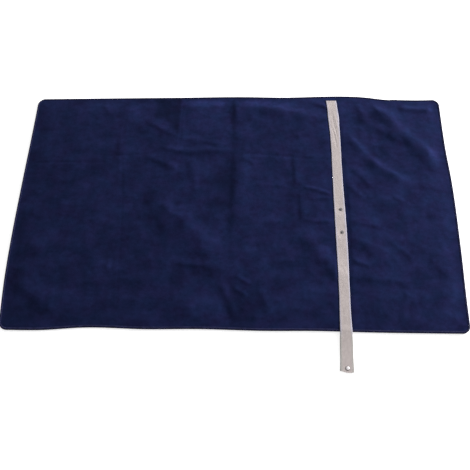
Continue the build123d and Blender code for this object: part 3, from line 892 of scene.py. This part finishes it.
def make_binding():
    places, inward = outline(240, 140, 12)
    rings = len(places)
    profile = binding_profile()
    # two places stand exactly at the inlet's sides
    far = places[:, 1] > HALF_Y - 1e-6
    for side in window_sides():
        nearest = np.argmin(np.where(far, np.abs(places[:, 0] - side), np.inf))
        places[nearest, 0] = side
    points = []
    for k, (place, direction) in enumerate(zip(places, inward)):
        for inset, z in profile:
            spot = place + direction * inset
            points.append([spot[0], spot[1], z])
    points = np.array(points)
    x, y, z = points.T
    round_about = np.repeat(np.arange(rings) * RING_PITCH, len(profile))
    lumpy = 0.22 * MM * soft_noise(round_about, z, 0.014, 41) + pucker(x, y) * 0.8
    bulge = np.clip((z - BINDING_MIDDLE_Z) / BINDING_MIDDLE_Z, -1, 1)
    z = z + lumpy * np.maximum(bulge, 0)
    points = placed(x, y, z)
    size = len(profile)
    low, high, deep = 1.6 * MM, 7.3 * MM, 2.6 * MM
    outer_walls = [k for k in range(size) if low < profile[k][1] < high and profile[k][0] < deep]
    faces = []
    middle_x = (places[:, 0] + np.roll(places[:, 0], -1)) / 2
    for k in range(rings):
        opened = inlet_window(middle_x[k], places[k, 1])
        for j in range(size):
            following = (j + 1) % size
            if opened and j in outer_walls and following in outer_walls:
                continue
            a, b = k * size + j, k * size + following
            c, d = ((k + 1) % rings) * size + following, ((k + 1) % rings) * size + j
            faces.append([a, b, c, d])
    piece = mesh_piece("edge_binding", points, faces)
    dress(piece, TAPE)
    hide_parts("edge_binding_right", "edge_binding_left")
    over_fold(piece)


def stitch_mesh(name, centres, directions, normals, length, width, height):
    """Many short stitches as one piece: each a flattened six-sided bead."""
    ring = [(math.cos(a), math.sin(a)) for a in np.linspace(0, 2 * math.pi, 7)[:-1]]
    stations = [(-0.5, 0.35, -0.6), (-0.42, 0.8, 0.1), (0, 1.0, 0.6), (0.42, 0.8, 0.1), (0.5, 0.35, -0.6)]
    points, faces = [], []
    for centre, along, up in zip(centres, directions, normals):
        side = np.cross(up, along)
        start = len(points)
        for place, fat, lift in stations:
            spot = centre + along * place * length + up * lift * height
            for c, s in ring:
                points.append(spot + side * c * fat * width / 2 + up * s * fat * height / 2)
        for k in range(len(stations) - 1):
            for j in range(6):
                a, b = start + 6 * k + j, start + 6 * k + (j + 1) % 6
                faces.append([a, b, b + 6, a + 6])
        faces.append([start + j for j in range(5, -1, -1)])
        faces.append([start + 6 * (len(stations) - 1) + j for j in range(6)])
    return mesh_piece(name, points, faces)


def make_binding_stitches():
    """One row of stitches on each face of the binding, near its inner edge."""
    pitch, inset = 4.2 * MM, 6.2 * MM
    seam_top, seam_under = 7.85 * MM, 0.55 * MM
    length, width, thickness = 3.2 * MM, 0.9 * MM, 0.5 * MM
    places, inward = outline(330, 190, 16)
    around = np.concatenate([places, places[:1]])
    steps = np.hypot(*np.diff(around, axis=0).T)
    total = np.concatenate([[0], np.cumsum(steps)])
    at = np.arange(0, total[-1] - pitch / 2, pitch)
    x = np.interp(at, total, around[:, 0])
    y = np.interp(at, total, around[:, 1])
    turned = np.concatenate([inward, inward[:1]])
    in_x, in_y = np.interp(at, total, turned[:, 0]), np.interp(at, total, turned[:, 1])
    x, y = x + in_x * inset, y + in_y * inset
    high = seam_top + pucker(x, y) * 0.8
    centres = placed(x, y, high)
    below = placed(x, y, 0 * high + seam_under)
    directions = np.stack([in_y, -in_x, 0 * in_x], axis=-1)
    up = np.tile([0.0, 0.0, 1.0], (len(at), 1))
    for name, spots, way in (("binding_stitches", centres, up), ("binding_stitches_under", below, -up)):
        piece = stitch_mesh(name, spots, directions, way, length, width, thickness)
        dress(piece, BINDING_THREAD)
        over_fold(piece)


# ---------------------------------------------------------------- strap

RIM_TOP = 8.9 * MM
STRAP_BRIDGE = 108 * MM
STRAP_SAG = 1.8 * MM

# Slack creases in the upper strap: (points as across and along, half-width, height in mm)
STRAP_CREASES = [
    ([(-0.006, 0.385), (0.001, 0.330), (0.009, 0.270)], 1.5, -1.1),
    ([(-0.010, 0.330), (-0.002, 0.285), (0.006, 0.215)], 1.6, -1.25),
    ([(0.002, 0.395), (0.008, 0.350), (0.014, 0.310)], 2.0, 0.8),
    ([(-0.012, -0.200), (0.004, -0.235), (0.012, -0.270)], 2.4, 0.4),
]


def strap_base(x, y):
    """Height of the strap's underside: on the panel, then bridging from its near edge to the snap's base."""
    u, v = before_sway(x, y)
    on_panel = panel_top(u, np.maximum(v, -HALF_Y + 13 * MM))
    by_rim = smooth((-HALF_Y + 24 * MM - v) / (14 * MM))
    on_panel = on_panel + np.maximum(RIM_TOP - on_panel, 0) * by_rim
    past = np.clip((-HALF_Y + 4 * MM - v) / STRAP_BRIDGE, 0, 1)
    tip = TIP_HIGH[2] - STRAP_THICK
    bridge = RIM_TOP * (1 - past) + tip * past - STRAP_SAG * 4 * past * (1 - past)
    bridge = bridge + 0.4 * MM * soft_noise(x, y, 0.03, 51) * past * (1 - past) * 4
    return np.where(past > 0, bridge, on_panel)


def strap_rows(y, half_count=8):
    """The strap's section at each y: across the top face and back along the underside."""
    centre, half = strap_side(y)
    across = np.linspace(-1, 1, 2 * half_count + 1)
    offset = half[:, None] * across[None, :]
    x = centre[:, None] + offset
    rows_y = np.repeat(y[:, None], x.shape[1], axis=1)
    base = strap_base(x.ravel(), rows_y.ravel()).reshape(x.shape)
    creased = np.zeros(x.shape)
    for points, width, height in STRAP_CREASES:
        side, along = beside(points, offset.ravel(), rows_y.ravel())
        fade = smooth(np.minimum(along, 1 - along) / 0.3)
        creased += (height * MM * fade * np.exp(-((side / (width * MM)) ** 2))).reshape(x.shape)
    edge = smooth((np.abs(across) - 0.9) / 0.1)[None, :]
    rolled = 0.06 * MM * edge
    top = base + STRAP_THICK + creased - rolled
    under = base + 0.5 * rolled
    return x, rows_y, top, under, offset


def end_slant(x, y, stop):
    """The strap's end is cut at a slant."""
    reach = 6 * MM * smooth((x - STRAP_X + 0.030) / 0.030)
    return y - reach * smooth((stop + 0.03 - y) / 0.03)


def strap_piece(name, high_y, low_y, slanted=False):
    count = max(4, round((high_y - low_y) / (2.4 * MM)))
    y = np.linspace(high_y, low_y, count + 1)
    x, rows_y, top, under, offset = strap_rows(y)
    if slanted:
        rows_y = end_slant(x, rows_y, low_y)
    rows, columns = x.shape
    section = [np.stack([x, rows_y, top], axis=-1), np.stack([x, rows_y, under], axis=-1)[:, ::-1]]
    loop = np.concatenate(section, axis=1)
    size = loop.shape[1]
    faces = []
    for k in range(rows - 1):
        for j in range(size):
            a, b = k * size + j, k * size + (j + 1) % size
            faces.append([a, a + size, b + size, b])
    for j in range(columns - 1):
        faces.append([j, j + 1, size - 2 - j, size - 1 - j])
        base = (rows - 1) * size
        faces.append([base + size - 1 - j, base + size - 2 - j, base + j + 1, base + j])
    flat = np.stack([offset, rows_y], axis=-1)
    uv = np.concatenate([flat, flat[:, ::-1]], axis=1).reshape(-1, 2)
    piece = mesh_piece(name, loop.reshape(-1, 3), faces, uv)
    for edge in piece.data.edges:
        row_a, row_b = [v // size for v in edge.vertices]
        edge.use_edge_sharp = row_a == row_b and row_a in (0, rows - 1)
    dress(piece, STRAP)
    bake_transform(piece)
    return piece


def make_strap():
    top_y = STRAP_HIGH[1] + 4.8 * MM
    meet_y = (FOLD_1_Y + FOLD_2_Y) / 2
    upper = strap_piece("strap_upper", top_y, meet_y)
    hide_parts("strap_sewn", "strap_free")
    end_y = TIP_LOW[1] + 6 * MM
    tail = strap_piece("strap_tail", meet_y, end_y, slanted=True)
    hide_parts("strap_tip")


def lathed(name, centre, profile, turns=48):
    """A closed turned piece from (radius, height) points, from its top centre out and back in underneath."""
    points = [(centre[0] + radius * math.cos(a), centre[1] + radius * math.sin(a), z)
              for radius, z in profile for a in np.linspace(0, 2 * math.pi, turns + 1)[:-1]]
    rings = len(profile)
    faces = [list(range(turns)), list(range(rings * turns - 1, (rings - 1) * turns - 1, -1))]
    for r in range(rings - 1):
        for k in range(turns):
            a, b = r * turns + k, r * turns + (k + 1) % turns
            faces.append([a, a + turns, b + turns, b])
    return mesh_piece(name, points, faces)


def make_snap_cap():
    """The snap's outer cap: a low dome set in a rolled rim, whose darker metal is painted shade."""
    low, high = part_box("snap_cap")
    radius, top = (high[0] - low[0]) / 2, high[2]
    # (share of the cap's radius, drop from its top in mm)
    dome = [(0.08, 0), (0.28, -0.05), (0.46, -0.16), (0.62, -0.34),
            (0.74, -0.62), (0.80, -1.0), (0.80, -1.6), (0.08, -1.6)]
    rim = [(0.78, -1.25), (0.83, -0.98), (0.88, -0.86), (0.94, -0.98),
           (1.0, -1.4), (0.98, -1.8), (0.78, -1.8)]
    # The rim's darker metal is painted shade.
    for name, section, finish in (("snap_dome", dome, SNAP_FINISH), ("snap_rim", rim, SHADED_NICKEL)):
        piece = lathed(name, SNAP, [(radius * share, top + drop * MM) for share, drop in section])
        dress(piece, finish)
        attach(piece, "strap_end")
        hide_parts("snap_cap")


# ---------------------------------------------------------------- stage, light and camera


def make_floor():
    n = Nodes("floor")
    where = n.place(uv=False)
    tone = n.noise(where, 0.8, 2, 0.5)
    n.colour(n.mix(tone, (0.93, 0.93, 0.93), (0.95, 0.95, 0.95)))
    n.set(Roughness=0.9, Emission_Color=(1, 1, 1, 1), Emission_Strength=0.55)
    reach = 8
    corners = [(-reach, -reach, 0), (reach, -reach, 0), (reach, reach, 0), (-reach, reach, 0)]
    floor = mesh_piece("floor", corners, [[0, 1, 2, 3]])
    floor.data.materials.append(n.material)


def make_world():
    world = bpy.data.worlds.new("studio")
    world.use_nodes = True
    background = world.node_tree.nodes["Background"]
    background.inputs["Color"].default_value = (1, 1, 1, 1)
    background.inputs["Strength"].default_value = 0.5
    bpy.context.scene.world = world


KEY_PLACE = (12, 6.9, 5.8)
KEY_TARGET = (0.1, 0, 0)
KEY_SIZE = (3.3, 3.3)
KEY_POWER = 5240


def area_light(name, place, target, size, power):
    light = bpy.data.lights.new(name, "AREA")
    light.shape = "RECTANGLE"
    light.size, light.size_y = size
    light.energy = power
    lamp = bpy.data.objects.new(name, light)
    lamp.location = place
    way = Vector(target) - Vector(place)
    lamp.rotation_euler = way.to_track_quat("-Z", "Y").to_euler()
    bpy.context.scene.collection.objects.link(lamp)


def make_camera():
    """A camera nearly overhead on the near side, turned and rolled slightly."""
    # focal length as a share of the picture's width, and angles in radians
    focal, pitch, yaw, roll = 1.4004, 1.1378, -0.0447, -0.0345
    place = Vector((0.0413, -1.0491, 2.038))
    forward = Vector((math.sin(yaw) * math.cos(pitch), math.cos(yaw) * math.cos(pitch), -math.sin(pitch)))
    right = Vector((math.cos(yaw), -math.sin(yaw), 0))
    up = right.cross(forward)
    turned_right = right * math.cos(roll) + up * math.sin(roll)
    turned_up = -right * math.sin(roll) + up * math.cos(roll)
    data = bpy.data.cameras.new("camera")
    sensor = 36
    data.sensor_width = sensor
    data.lens = sensor * focal
    camera = bpy.data.objects.new("camera", data)
    columns = Matrix((turned_right, turned_up, -forward)).transposed()
    camera.matrix_world = Matrix.Translation(place) @ columns.to_4x4()
    bpy.context.scene.collection.objects.link(camera)
    bpy.context.scene.camera = camera


def make_look():
    view = bpy.context.scene.view_settings
    view.view_transform = "Standard"
    view.look = "None"
    view.exposure = 0
    view.gamma = 1


dress_cad_nodes()
make_covers()
make_binding()
make_binding_stitches()
make_strap()
make_snap_cap()
make_floor()
make_world()
area_light("key", KEY_PLACE, KEY_TARGET, KEY_SIZE, KEY_POWER)
make_camera()
make_look()
